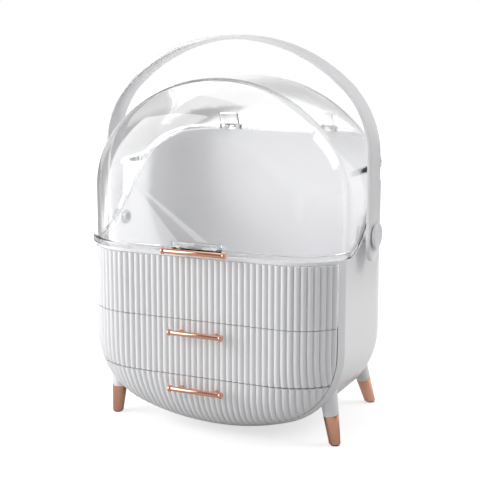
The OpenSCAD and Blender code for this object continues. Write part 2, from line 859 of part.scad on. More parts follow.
module leg_stubs() color(white) difference() {
    at_legs() {
        difference() {
            translate([0, 0, sleeve_len])
                cylinder(r1 = sleeve_r - 0.1, r2 = sleeve_r - 0.1 + leg_flare * 37, h = 37);
            translate([0, 0, sleeve_len - 1]) cylinder(r = stud_r + 0.02, h = 14);
        }
    }
    lower_body(0, corner_cz + 20);
}

module leg_sleeves() color(copper) difference() {
    at_legs() difference() {
        translate([0, 0, -3]) cylinder(r1 = foot_r - 3 * leg_flare, r2 = sleeve_r, h = sleeve_len + 3);
        translate([0, 0, sleeve_len - 12]) cylinder(r = stud_r + 0.02, h = 13);
    }
    translate([-far, -far, -2 * far]) cube([2 * far, 2 * far, 2 * far + pad_h]);
}

module leg_studs() color(steel) {
    at_legs() translate([0, 0, sleeve_len - 11.5]) cylinder(r = stud_r, h = 23.5);
}

module foot_pads() color(dark) {
    for (side = [-1, 1]) for (foot = [front_foot, rear_foot])
        translate([side * foot[0], foot[1], 0]) cylinder(r = pad_r, h = pad_h);
}

// ---------------------------------------------------------------- build

case_shell();
front_panel();
upper_deck();
lower_deck();
upper_runners();
lower_runners();
drawer_stops();
upper_tray();
upper_front();
upper_pull();
upper_pull_screws();
lower_tray();
lower_front();
lower_pull();
lower_pull_screws();
cover();
hinge_tabs();
cover_pull_plate();
cover_pull();
cover_pull_screws();
hinge_brackets();
hinge_pins();
carry_handle();
handle_bushings();
pivot_caps();
pivot_bosses();
pivot_nuts();
leg_stubs();
leg_sleeves();
leg_studs();
foot_pads();
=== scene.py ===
import json
import math

import bpy
from bpy.props import FloatProperty, FloatVectorProperty, IntProperty, PointerProperty
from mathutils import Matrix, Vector


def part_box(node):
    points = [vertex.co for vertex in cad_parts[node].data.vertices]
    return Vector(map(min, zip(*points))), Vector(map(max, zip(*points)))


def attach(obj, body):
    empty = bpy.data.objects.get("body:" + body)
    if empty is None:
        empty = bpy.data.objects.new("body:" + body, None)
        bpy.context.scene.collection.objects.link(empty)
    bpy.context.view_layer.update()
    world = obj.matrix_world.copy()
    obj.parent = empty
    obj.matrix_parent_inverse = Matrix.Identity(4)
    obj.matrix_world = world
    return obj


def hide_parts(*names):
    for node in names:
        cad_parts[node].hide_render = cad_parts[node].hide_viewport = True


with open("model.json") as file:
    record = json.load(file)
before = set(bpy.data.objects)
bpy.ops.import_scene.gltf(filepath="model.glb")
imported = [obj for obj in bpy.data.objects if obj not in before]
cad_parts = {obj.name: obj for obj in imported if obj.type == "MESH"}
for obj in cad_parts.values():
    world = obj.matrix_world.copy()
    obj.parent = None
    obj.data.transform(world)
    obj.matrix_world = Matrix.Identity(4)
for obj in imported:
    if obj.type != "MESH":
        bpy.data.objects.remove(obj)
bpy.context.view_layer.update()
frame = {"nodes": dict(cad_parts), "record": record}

bl_info = {
    "name": "Make-up Organiser Dressing",
    "version": (1, 0, 0),
    "blender": (4, 5, 0),
    "location": "3D View > Sidebar > Organiser",
    "description": "Finishes and detailed pieces of a covered make-up organiser with fluted drawers",
    "category": "Object",
}

MM = 0.001
BODIES = frame["record"]["behaviour"]["bodies"]
BODY_OF = {node: body for body, nodes in BODIES.items() for node in nodes}
SLOT_OF = {part["node"]: part["material_slot"] for part in frame["record"]["subparts"]}


def low(node):
    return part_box(node)[0]


def high(node):
    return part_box(node)[1]


def size(node):
    return high(node) - low(node)


# ---------------------------------------------------------------- settings


def length_setting(name, description, default):
    """A length; the default is in millimetres."""
    return FloatProperty(name=name, description=description, default=default * MM, unit="LENGTH")


def place_setting(name, description, default):
    """A place; the default is in millimetres."""
    return FloatVectorProperty(
        name=name, description=description, default=[value * MM for value in default],
        subtype="TRANSLATION", unit="LENGTH", size=3)


def colour_setting(name, description, default):
    return FloatVectorProperty(
        name=name, description=description, default=default, subtype="COLOR", size=3, min=0, max=1)


def number_setting(name, description, default, **kind):
    return FloatProperty(name=name, description=description, default=default, **kind)


class OrganiserShape(bpy.types.PropertyGroup):
    """Sizes of the moulded outline and of the flutes."""

    corner_radius: length_setting(
        "Lower corner radius", "Radius of the body's lower corners seen from the front", 80)
    corner_height: length_setting("Lower corner centre", "Height of the centre of the lower corners", 96)
    bottom_radius: length_setting("Bottom radius", "Radius of the shallow arc under the body", 246.5)
    spring_height: length_setting("Arch spring", "Height at which the sides turn into the arch", 241)
    arch_radius: length_setting("Arch side radius", "Radius of the arch on each side", 92)
    arch_top_radius: length_setting("Arch top radius", "Radius of the arch over the middle", 150)
    front_fillet: length_setting("Front rounding", "Radius from the front face round to the sides", 56)
    front_inset: length_setting(
        "Front rounding width", "Width of the front rounding seen from the front", 53)
    crease_width: length_setting(
        "Crease width", "Half width of the soft crease between the cover's front and sides", 6)
    front_thickness: length_setting("Front thickness", "Wall of the drawer fronts behind the flutes", 4.2)
    flute_radius: length_setting("Flute radius", "Radius of each half-round flute", 3.3)
    flute_fade: length_setting("Flute fade", "Length over which a flute runs out at its lower end", 8)
    frame_gap: length_setting("Frame width", "Smooth border between the outline and the flutes", 4.5)
    seam_width: length_setting("Seam width", "Gap between two fronts", 0.8)
    flutes: IntProperty(
        name="Flutes", description="Flutes across the panel and the upper drawer", default=45)
    low_flutes: IntProperty(name="Lower flutes", description="Flutes across the lower drawer", default=41)
    flute_steps: IntProperty(name="Flute steps", description="Faces across one flute", default=8)


class OrganiserHardware(bpy.types.PropertyGroup):
    """Sizes of the pulls, screws, feet and pivot caps."""

    pull_radius: length_setting("Pull radius", "Radius of a pull's bar", 2.5)
    knob_radius: length_setting("Knob radius", "Radius of the knobs at the ends of a pull", 3.2)
    knob_length: length_setting("Knob length", "Length of each knob", 3)
    post_radius: length_setting("Post radius", "Radius of a pull's two posts", 2)
    post_place: length_setting("Post place", "Distance of each post from the middle", 18.58)
    shank_radius: length_setting("Shank radius", "Radius of a pull screw's shank", 1.5)
    head_height: length_setting("Head height", "Height of a pull screw's head", 1.6)
    front_foot: place_setting("Front foot", "Where a front leg's axis meets the ground", (122, -43, 0))
    front_leg_top: place_setting(
        "Front leg top", "A higher point of a front leg's axis", (114.4, -46, 58))
    rear_foot: place_setting("Rear foot", "Where a rear leg's axis meets the ground", (110, 99, 0))
    rear_leg_top: place_setting("Rear leg top", "A higher point of a rear leg's axis", (99, 76, 64))
    sleeve_length: length_setting("Sleeve length", "Length of a plated sleeve", 31)
    sleeve_radius: length_setting("Sleeve radius", "Radius at the top of a sleeve", 7.6)
    foot_radius: length_setting("Foot radius", "Radius of a sleeve at the ground", 5.5)
    foot_rounding: length_setting("Foot rounding", "Rounded edge at the lower end of a sleeve", 1.3)
    pad_radius: length_setting("Pad radius", "Radius of a rubber pad", 4.4)
    cap_neck: length_setting("Cap neck", "Radius of the recess under a pivot cap", 8.6)
    stem_radius: length_setting("Stem radius", "Radius of a pivot cap's stem", 4)
    stem_length: length_setting("Stem length", "Length of a pivot cap with its stem", 15.1)


class OrganiserFinish(bpy.types.PropertyGroup):
    """Colours of the finishes."""

    white: colour_setting("White", "Satin white of the moulded case", (0.83, 0.83, 0.845))
    inner_white: colour_setting("Inner white", "Matt white of the trays and decks", (0.8, 0.8, 0.815))
    clear: colour_setting("Clear tint", "Tint of the clear cover", (0.985, 0.986, 0.988))
    copper: colour_setting("Copper", "Rose gold plating", (0.82, 0.43, 0.3))
    steel: colour_setting("Steel", "Zinc-plated screws and pins", (0.56, 0.57, 0.58))
    rubber: colour_setting("Rubber", "Foot pads", (0.03, 0.03, 0.032))


class OrganiserStage(bpy.types.PropertyGroup):
    """Camera, lamps and room."""

    camera_place: place_setting("Camera place", "Where the camera stands", (482.88, -1034.95, 390.73))
    camera_turn: number_setting(
        "Camera turn", "Turn of the camera about the vertical", math.radians(25.0), subtype="ANGLE")
    camera_tilt: number_setting(
        "Camera tilt", "How far the camera looks down", math.radians(10.18), subtype="ANGLE")
    lens: number_setting("Lens", "Focal length", 85.39, unit="CAMERA")
    left_power: number_setting("Left lamp", "Power of the left lamp", 16, unit="POWER")
    right_power: number_setting("Right lamp", "Power of the right lamp", 5.2, unit="POWER")
    top_power: number_setting("Top lamp", "Power of the overhead lamp", 7, unit="POWER")
    sky: number_setting("Room light", "Strength of the room's even light", 0.39)
    dark_room: number_setting("Dark room", "Strength of the room away from the paper in reflections", 0.3)
    dim_room: number_setting(
        "Dim room", "Strength of the room away from the paper through clear pieces", 0.55)


# ---------------------------------------------------------------- modelling helpers


def clear_selection():
    if bpy.context.object and bpy.context.object.mode != "OBJECT":
        bpy.ops.object.mode_set(mode="OBJECT")
    bpy.ops.object.select_all(action="DESELECT")


def only(obj):
    clear_selection()
    obj.hide_viewport = False
    obj.select_set(True)
    bpy.context.view_layer.objects.active = obj


def apply_modifier(obj, kind, **values):
    """Adds a modifier with these values and applies it."""
    only(obj)
    modifier = obj.modifiers.new(kind.title(), kind)
    for name, value in values.items():
        setattr(modifier, name, value)
    bpy.ops.object.modifier_apply(modifier=modifier.name)


def clean(obj, angle=35):
    """Merges doubles, turns faces outwards and smooths every edge flatter than the angle."""
    only(obj)
    bpy.ops.object.mode_set(mode="EDIT")
    bpy.ops.mesh.select_all(action="SELECT")
    bpy.ops.mesh.remove_doubles(threshold=1e-6)
    bpy.ops.mesh.normals_make_consistent(inside=False)
    bpy.ops.object.mode_set(mode="OBJECT")
    bpy.ops.object.shade_smooth_by_angle(angle=math.radians(angle))


def settle(obj, name, node):
    """Names a finished piece, puts its place in its mesh and lets it stand for a CAD node."""
    only(obj)
    bpy.ops.object.transform_apply(location=True, rotation=True, scale=True)
    obj.name = obj.data.name = name
    obj.data.materials.clear()
    obj.data.materials.append(FINISHES[SLOT_OF[node]])
    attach(obj, BODY_OF[node])
    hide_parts(node)


def turned(profile, steps=48):
    """Spins a profile of (radius, height) points about the object's Z axis."""
    clear_selection()
    bpy.ops.mesh.primitive_plane_add(size=MM)
    obj = bpy.context.object
    bpy.ops.object.mode_set(mode="EDIT")
    bpy.ops.mesh.select_mode(type="VERT")
    bpy.ops.mesh.select_all(action="SELECT")
    bpy.ops.mesh.merge(type="CENTER")
    bpy.ops.transform.translate(value=(profile[0][0], 0, profile[0][1]))
    for (r0, h0), (r1, h1) in zip(profile, profile[1:]):
        bpy.ops.mesh.extrude_region_move(TRANSFORM_OT_translate={"value": (r1 - r0, 0, h1 - h0)})
    bpy.ops.mesh.select_all(action="SELECT")
    bpy.ops.mesh.spin(steps=steps, angle=2 * math.pi, center=(0, 0, 0), axis=(0, 0, 1))
    bpy.ops.object.mode_set(mode="OBJECT")
    clean(obj)
    return obj


def aim(obj, place, direction):
    """Puts a turned piece at a place with its axis along a direction."""
    obj.location = place
    obj.rotation_euler = Vector(direction).to_track_quat("Z", "Y").to_euler()
    only(obj)
    bpy.ops.object.transform_apply(location=True, rotation=True, scale=True)
    return obj


def arc_points(centre, radius, start, end, steps):
    """Points of an arc in a (radius, height) profile; angles in degrees from outwards to up."""
    return [(centre[0] + radius * math.cos(math.radians(start + (end - start) * i / steps)),
             centre[1] + radius * math.sin(math.radians(start + (end - start) * i / steps)))
            for i in range(steps + 1)]


def copied(obj):
    copy = obj.copy()
    copy.data = obj.data.copy()
    bpy.context.scene.collection.objects.link(copy)
    return copy


def mirrored(obj):
    """A copy on the other side, mirrored left to right."""
    copy = copied(obj)
    copy.scale.x = -1
    only(copy)
    bpy.ops.object.transform_apply(location=True, rotation=True, scale=True)
    clean(copy)
    return copy


def joined(objs):
    clear_selection()
    for obj in objs:
        obj.select_set(True)
    bpy.context.view_layer.objects.active = objs[0]
    bpy.ops.object.join()
    return objs[0]


def softened(node, width, segments=2, angle=40):
    """A copy of a CAD node's mesh with merged faces and rounded edges."""
    clear_selection()
    obj = bpy.data.objects.new(node + "_soft", frame["nodes"][node].data.copy())
    bpy.context.scene.collection.objects.link(obj)
    only(obj)
    bpy.ops.mesh.customdata_custom_splitnormals_clear()
    bpy.ops.object.mode_set(mode="EDIT")
    bpy.ops.mesh.select_all(action="SELECT")
    bpy.ops.mesh.remove_doubles(threshold=2e-6)
    bpy.ops.mesh.dissolve_limited(angle_limit=math.radians(0.2))
    bpy.ops.object.mode_set(mode="OBJECT")
    apply_modifier(obj, "BEVEL", width=width, segments=segments, limit_method="ANGLE",
                   angle_limit=math.radians(angle), use_clamp_overlap=True, harden_normals=False)
    only(obj)
    bpy.ops.object.shade_smooth_by_angle(angle=math.radians(angle))
    return obj


# ---------------------------------------------------------------- finishes


def new_group(name, inputs, outputs):
    """A shader node group with these sockets; returns it with its input and output nodes."""
    group = bpy.data.node_groups.new(name, "ShaderNodeTree")
    for label, kind, value in inputs:
        socket = group.interface.new_socket(name=label, in_out="INPUT", socket_type=kind)
        if value is not None:
            socket.default_value = value
    for label, kind in outputs:
        group.interface.new_socket(name=label, in_out="OUTPUT", socket_type=kind)
    return group, group.nodes.new("NodeGroupInput"), group.nodes.new("NodeGroupOutput")


def add_math(tree, operation, a, b=None, c=None):
    """A Math node of the tree; numbers are set and sockets are linked."""
    node = tree.nodes.new("ShaderNodeMath")
    node.operation = operation
    for socket, value in zip(node.inputs, (a, b, c)):
        if isinstance(value, bpy.types.NodeSocket):
            tree.links.new(value, socket)
        elif value is not None:
            socket.default_value = value
    return node.outputs[0]


def add_ramp(tree, value, source, target):
    """A smooth step of the value from one range to another."""
    node = tree.nodes.new("ShaderNodeMapRange")
    node.interpolation_type = "SMOOTHSTEP"
    node.inputs["From Min"].default_value, node.inputs["From Max"].default_value = source
    node.inputs["To Min"].default_value, node.inputs["To Max"].default_value = target
    tree.links.new(value, node.inputs["Value"])
    return node.outputs["Result"]


def add_length(tree, vector):
    node = tree.nodes.new("ShaderNodeVectorMath")
    node.operation = "LENGTH"
    tree.links.new(vector, node.inputs[0])
    return node.outputs["Value"]


def add_along(tree, vector, direction):
    """How far the vector goes along a direction."""
    node = tree.nodes.new("ShaderNodeVectorMath")
    node.operation = "DOT_PRODUCT"
    tree.links.new(vector, node.inputs[0])
    node.inputs[1].default_value = direction
    return node.outputs["Value"]


def add_noise(tree, vector, scale, detail=3.0):
    node = tree.nodes.new("ShaderNodeTexNoise")
    node.inputs["Detail"].default_value = detail
    tree.links.new(vector, node.inputs["Vector"])
    if isinstance(scale, bpy.types.NodeSocket):
        tree.links.new(scale, node.inputs["Scale"])
    else:
        node.inputs["Scale"].default_value = scale
    return node.outputs["Fac"]


def add_shade(tree, colour, factor):
    """Multiplies a colour by a number that varies over the surface."""
    node = tree.nodes.new("ShaderNodeVectorMath")
    node.operation = "SCALE"
    tree.links.new(colour, node.inputs[0])
    tree.links.new(factor, node.inputs["Scale"])
    return node.outputs[0]


def moulded_group():
    """Flow clouding, uneven gloss and fine orange peel of a moulded plastic skin."""
    group, given, out = new_group(
        "Moulded Skin",
        [("Vector", "NodeSocketVector", None), ("Color", "NodeSocketColor", None),
         ("Clouding", "NodeSocketFloat", 0.02), ("Roughness", "NodeSocketFloat", 0.4),
         ("Gloss Variation", "NodeSocketFloat", 0.08), ("Peel Scale", "NodeSocketFloat", 900.0)],
        [("Color", "NodeSocketColor"), ("Roughness", "NodeSocketFloat"), ("Height", "NodeSocketFloat")])
    cloud = add_noise(group, given.outputs["Vector"], 14.0)
    centred = add_math(group, "SUBTRACT", cloud, 0.5)
    shade = add_math(group, "MULTIPLY_ADD", centred, given.outputs["Clouding"], 1.0)
    group.links.new(add_shade(group, given.outputs["Color"], shade), out.inputs["Color"])
    gloss = add_math(group, "SUBTRACT", add_noise(group, given.outputs["Vector"], 60.0), 0.5)
    rough = add_math(group, "MULTIPLY_ADD", gloss, given.outputs["Gloss Variation"],
                     given.outputs["Roughness"])
    group.links.new(rough, out.inputs["Roughness"])
    group.links.new(add_noise(group, given.outputs["Vector"], given.outputs["Peel Scale"], 2.0),
                    out.inputs["Height"])
    return group


def brushed_group():
    """Fine polishing lines of plated metal, drawn out along one axis."""
    group, given, out = new_group(
        "Polishing Lines",
        [("Vector", "NodeSocketVector", None), ("Color", "NodeSocketColor", None),
         ("Stretch", "NodeSocketVector", (1.0, 1.0, 1.0)), ("Roughness", "NodeSocketFloat", 0.2),
         ("Line Depth", "NodeSocketFloat", 0.1), ("Tarnish", "NodeSocketFloat", 0.05)],
        [("Color", "NodeSocketColor"), ("Roughness", "NodeSocketFloat"), ("Height", "NodeSocketFloat")])
    stretch = group.nodes.new("ShaderNodeVectorMath")
    stretch.operation = "MULTIPLY"
    group.links.new(given.outputs["Vector"], stretch.inputs[0])
    group.links.new(given.outputs["Stretch"], stretch.inputs[1])
    lines = add_noise(group, stretch.outputs[0], 1.0, 4.0)
    blotch = add_math(group, "SUBTRACT", add_noise(group, given.outputs["Vector"], 120.0), 0.5)
    shade = add_math(group, "MULTIPLY_ADD", blotch, given.outputs["Tarnish"], 1.0)
    group.links.new(add_shade(group, given.outputs["Color"], shade), out.inputs["Color"])
    centred = add_math(group, "SUBTRACT", lines, 0.5)
    rough = add_math(group, "MULTIPLY_ADD", centred, given.outputs["Line Depth"],
                     given.outputs["Roughness"])
    group.links.new(rough, out.inputs["Roughness"])
    group.links.new(lines, out.inputs["Height"])
    return group


GROUPS = {}
FINISHES = {}


def shared(name, build):
    if name not in GROUPS:
        GROUPS[name] = build()
    return GROUPS[name]


def start_material(name):
    material = bpy.data.materials.new(name)
    material.use_nodes = True
    tree = material.node_tree
    shader = next(node for node in tree.nodes if node.type == "BSDF_PRINCIPLED")
    place = tree.nodes.new("ShaderNodeTexCoord")
    return material, tree, shader, place.outputs["Object"]


def place_group(tree, group, vector, shader, colour, values, bump):
    """Puts a shared effect into a material and feeds the shader from it."""
    node = tree.nodes.new("ShaderNodeGroup")
    node.node_tree = group
    tree.links.new(vector, node.inputs["Vector"])
    node.inputs["Color"].default_value = (*colour, 1.0)
    for label, value in values.items():
        node.inputs[label].default_value = value
    tree.links.new(node.outputs["Color"], shader.inputs["Base Color"])
    tree.links.new(node.outputs["Roughness"], shader.inputs["Roughness"])
    relief = tree.nodes.new("ShaderNodeBump")
    relief.inputs["Strength"].default_value = bump[0]
    relief.inputs["Distance"].default_value = bump[1]
    tree.links.new(node.outputs["Height"], relief.inputs["Height"])
    tree.links.new(relief.outputs["Normal"], shader.inputs["Normal"])
    return node


def plastic(name, colour, roughness, clouding, peel, coat):
    material, tree, shader, vector = start_material(name)
    place_group(tree, shared("moulded", moulded_group), vector, shader, colour,
                {"Clouding": clouding, "Roughness": roughness, "Peel Scale": peel}, (0.05, 0.02 * MM))
    shader.inputs["IOR"].default_value = 1.5
    shader.inputs["Coat Weight"].default_value = coat
    shader.inputs["Coat Roughness"].default_value = 0.12
    return material


def metal(name, colour, roughness, stretch, depth, tarnish):
    material, tree, shader, vector = start_material(name)
    place_group(tree, shared("brushed", brushed_group), vector, shader, colour,
                {"Stretch": stretch, "Roughness": roughness, "Line Depth": depth, "Tarnish": tarnish},
                (0.06, 0.01 * MM))
    shader.inputs["Metallic"].default_value = 1.0
    return material


def clear_plastic(name, colour):
    """Clear moulded plastic that lets light through to what it covers."""
    material, tree, shader, vector = start_material(name)
    flow = {"Clouding": 0.01, "Roughness": 0.045, "Gloss Variation": 0.05, "Peel Scale": 55.0}
    node = place_group(tree, shared("moulded", moulded_group), vector, shader, colour, flow,
                       (0.05, 0.05 * MM))
    node.label = "Flow marks"
    shader.inputs["IOR"].default_value = 1.49
    shader.inputs["Transmission Weight"].default_value = 1.0
    path = tree.nodes.new("ShaderNodeLightPath")
    body = tree.nodes.new("ShaderNodeVolumeAbsorption")
    body.inputs["Color"].default_value = (0.5, 0.5, 0.5, 1.0)
    body.inputs["Density"].default_value = 14.0
    through = tree.nodes.new("ShaderNodeBsdfTransparent")
    through.inputs["Color"].default_value = (0.92, 0.92, 0.92, 1.0)
    mix = tree.nodes.new("ShaderNodeMixShader")
    output = next(node for node in tree.nodes if node.type == "OUTPUT_MATERIAL")
    tree.links.new(path.outputs["Is Shadow Ray"], mix.inputs["Fac"])
    tree.links.new(shader.outputs[0], mix.inputs[1])
    tree.links.new(through.outputs[0], mix.inputs[2])
    tree.links.new(mix.outputs[0], output.inputs["Surface"])
    tree.links.new(body.outputs[0], output.inputs["Volume"])
    return material


# ---------------------------------------------------------------- fluted fronts


class Outline:
    """The body's rounded front: where a point of the front view lies on its skin."""

    def __init__(self, shape):
        box_low, box_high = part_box("case_shell")
        self.half = box_high.x
        self.front_y = box_low.y
        self.inset = shape.front_inset
        self.fillet = shape.front_fillet
        self.fillet_y = self.front_y + self.fillet
        self.corner_r = shape.corner_radius
        self.corner_x = self.half - self.corner_r
        self.corner_z = shape.corner_height
        self.bottom_r = shape.bottom_radius
        self.bottom_z = box_low.z + self.bottom_r
        self.bottom_half = math.atan2(self.corner_x, self.bottom_z - self.corner_z)
        self.flat_half = self.half - self.inset

    def nearest(self, x, z):
        """Distance inside the outline and the direction out of it."""
        if z >= self.corner_z:
            return self.half - abs(x), (math.copysign(1, x), 0)
        if math.atan2(abs(x), self.bottom_z - z) < self.bottom_half:
            far = math.hypot(x, z - self.bottom_z)
            return self.bottom_r - far, (x / far, (z - self.bottom_z) / far)
        over = abs(x) - self.corner_x
        far = math.hypot(over, z - self.corner_z)
        return self.corner_r - far, (math.copysign(over, x) / far, (z - self.corner_z) / far)

    def skin(self, x, z, off):
        """The point of the skin over a point of the front view, raised by a height."""
        inside, out = self.nearest(x, z)
        turn = max(0, self.inset - inside) / self.fillet
        depth = math.sqrt(max(0, 1 - turn * turn))
        return Vector((x + out[0] * turn * off, self.fillet_y - (self.fillet + off) * depth,
                       z + out[1] * turn * off))

    def flute_x(self, along):
        """Sideways position of a point from its distance along the front."""
        if abs(along) < self.flat_half:
            return along
        return math.copysign(
            self.flat_half + self.fillet * math.sin((abs(along) - self.flat_half) / self.fillet), along)

    def flute_reach(self, x):
        """Distance along the front to a sideways position."""
        return self.flat_half + self.fillet * math.asin((x - self.flat_half) / self.fillet)

    def edge_x(self, z, gap):
        """Sideways position of the edge at a height, a gap inside the outline."""
        return self.corner_x + math.sqrt((self.corner_r - gap) ** 2 - (self.corner_z - z) ** 2)

    def edge_z(self, x, gap):
        """Height at which a flute runs out on the lower edge."""
        if abs(x) > self.corner_x + (self.corner_r - gap) * math.sin(self.bottom_half):
            return self.corner_z - math.sqrt((self.corner_r - gap) ** 2 - (abs(x) - self.corner_x) ** 2)
        return self.bottom_z - math.sqrt((self.bottom_r - gap) ** 2 - x * x)


def bead(step, steps, radius, width):
    """Height of a half-round flute at a step across it."""
    off = (step % steps) / steps - 0.5
    sunk = math.sqrt(radius ** 2 - (width / 2) ** 2)
    return math.sqrt(radius ** 2 - (off * width) ** 2) - sunk


GRID_SIZE = 0.2
TINY = 0.01 * MM


def fluted_sheet(outline, shape, tops, feet, flutes, width, rows, floor_z):
    """A closed plate whose columns run from tops to feet: a grid laid on the skin and thickened."""
    columns = len(tops) - 1
    steps = columns // flutes
    clear_selection()
    bpy.ops.mesh.primitive_grid_add(x_subdivisions=columns, y_subdivisions=rows, size=GRID_SIZE)
    obj = bpy.context.object
    mesh = obj.data
    place = {}
    for vertex in mesh.vertices:
        column = round((vertex.co.x / GRID_SIZE + 0.5) * columns)
        row = round((0.5 - vertex.co.y / GRID_SIZE) * rows)
        share = math.sin(math.pi / 2 * row / rows)
        (x0, z0), (x1, z1) = tops[column], feet[column]
        x, z = x0 + (x1 - x0) * share, z0 + (z1 - z0) * share
        left = (1 - share) * (z0 - z1)
        strength = min(1, math.sqrt(left / shape.flute_fade)) if z1 > floor_z + TINY else 1
        place[vertex.index] = (x, z)
        vertex.co = outline.skin(x, z, bead(column, steps, shape.flute_radius, width) * strength)
        vertex.co.z = min(max(vertex.co.z, floor_z), z0)
    only(obj)
    bpy.ops.object.mode_set(mode="EDIT")
    bpy.ops.mesh.select_all(action="SELECT")
    bpy.ops.mesh.extrude_region_move(TRANSFORM_OT_translate={"value": (0, 0, 0)})
    bpy.ops.object.mode_set(mode="OBJECT")
    count = len(place)
    for vertex in mesh.vertices[count:]:
        near = mesh.vertices[vertex.index - count].co
        x, z = place[vertex.index - count]
        vertex.co = outline.skin(x, z, -shape.front_thickness)
        vertex.co.z = min(max(vertex.co.z, floor_z), near.z if near.z > floor_z else floor_z)
    return obj


class ORGANISER_OT_fluted_fronts(bpy.types.Operator):
    """Model the fixed panel and the two drawer fronts with their half-round flutes"""

    bl_idname = "organiser.fluted_fronts"
    bl_label = "Fluted Fronts"

    WITHIN_EDGE = 0.999  # keeps the outermost flutes off the steep end of the lower edge
    DRAWN_IN = 0.1  # share by which the lower drawer's flutes draw together at the middle
    LOWER_ROWS = 20

    def execute(self, context):
        shape = context.scene.organiser_shape
        outline = Outline(shape)
        self.straight_front(outline, shape, "front_panel", 3)
        self.straight_front(outline, shape, "upper_front", 10)
        self.lower_front(outline, shape)
        return {"FINISHED"}

    def straight_front(self, outline, shape, node, rows):
        """A front whose flutes run straight down, shortened where they meet the outline."""
        box_low, box_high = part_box(node)
        if node == "front_panel":
            box_low = Vector((box_low.x, box_low.y, high("upper_front").z + shape.seam_width))
        reach = outline.flute_reach(outline.half - shape.frame_gap)
        columns = shape.flutes * shape.flute_steps
        xs = [outline.flute_x(reach * (2 * j / columns - 1)) for j in range(columns + 1)]
        tops = [(x, box_high.z) for x in xs]
        feet = [(x, box_low.z) for x in xs]
        if box_low.z < outline.corner_z:
            inner = [x * self.WITHIN_EDGE for x in xs]
            feet = [(x, max(box_low.z, outline.edge_z(x, shape.frame_gap))) for x in inner]
        width = 2 * reach / shape.flutes
        obj = fluted_sheet(outline, shape, tops, feet, shape.flutes, width, rows, box_low.z)
        clean(obj, 50)
        settle(obj, node + "_fluted", node)

    def lower_front(self, outline, shape):
        """The front whose flutes draw in a little and run out on the rounded lower edge."""
        box_low, box_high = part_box("lower_front")
        top_x = outline.edge_x(box_high.z, shape.frame_gap)
        reach = outline.flute_reach(top_x)
        ratio = outline.edge_x(box_high.z - 4 * MM, shape.frame_gap) / top_x
        columns = shape.low_flutes * shape.flute_steps
        xs = [outline.flute_x(reach * (2 * j / columns - 1)) for j in range(columns + 1)]
        tops = [(x, box_high.z) for x in xs]
        feet = []
        for x in xs:
            drawn = x * ratio * (1 - self.DRAWN_IN * (1 - (x / top_x) ** 2))
            feet.append((drawn, outline.edge_z(drawn, shape.frame_gap)))
        width = 2 * reach / shape.low_flutes
        obj = fluted_sheet(outline, shape, tops, feet, shape.low_flutes, width, self.LOWER_ROWS,
                           low("case_shell").z)
        clean(obj, 50)
        settle(obj, "lower_front_fluted", "lower_front")


# ---------------------------------------------------------------- pulls and screws


class ORGANISER_OT_pulls(bpy.types.Operator):
    """Turn the three plated pulls with their knobs and posts"""

    bl_idname = "organiser.pulls"
    bl_label = "Pulls"

    def execute(self, context):
        ware = context.scene.organiser_hardware
        for node in ("upper_pull", "lower_pull", "cover_pull"):
            parts = [self.bar(ware, node)] + [self.post(ware, node, side) for side in (-1, 1)]
            settle(joined(parts), node + "_turned", node)
        return {"FINISHED"}

    def centre(self, ware, node):
        return low(node).y + ware.knob_radius, (low(node).z + high(node).z) / 2

    def bar(self, ware, node):
        """A bar with a rounded knob, a fine neck and a shoulder at each end."""
        half = size(node).x / 2
        bar, knob, length = ware.pull_radius, ware.knob_radius, ware.knob_length
        round_end, round_back = 1.1 * MM, 0.5 * MM
        neck, neck_start = bar - 0.35 * MM, -half + length
        end = [(0, -half)]
        end += arc_points((knob - round_end, -half + round_end), round_end, -90, 0, 5)
        end += arc_points((knob - round_back, neck_start - round_back), round_back, 0, 90, 3)
        end += [(neck, neck_start), (neck, neck_start + 0.5 * MM)]
        end += [(bar - 0.1 * MM, neck_start + 0.65 * MM), (bar, neck_start + 0.9 * MM)]
        middle = [(bar, 0)]
        profile = end + middle + [(r, -h) for r, h in reversed(end)]
        y, z = self.centre(ware, node)
        return aim(turned(profile), (0, y, z), (1, 0, 0))

    def post(self, ware, node, side):
        """A post that flares a little where it sits on the front."""
        y, z = self.centre(ware, node)
        depth = high(node).y - y
        r = ware.post_radius
        waist = r * 0.85
        profile = [(0, 0), (waist, 0), (waist, depth * 0.55), (r, depth * 0.8), (r, depth), (0, depth)]
        return aim(turned(profile, 24), (side * ware.post_place, y, z), (0, 1, 0))


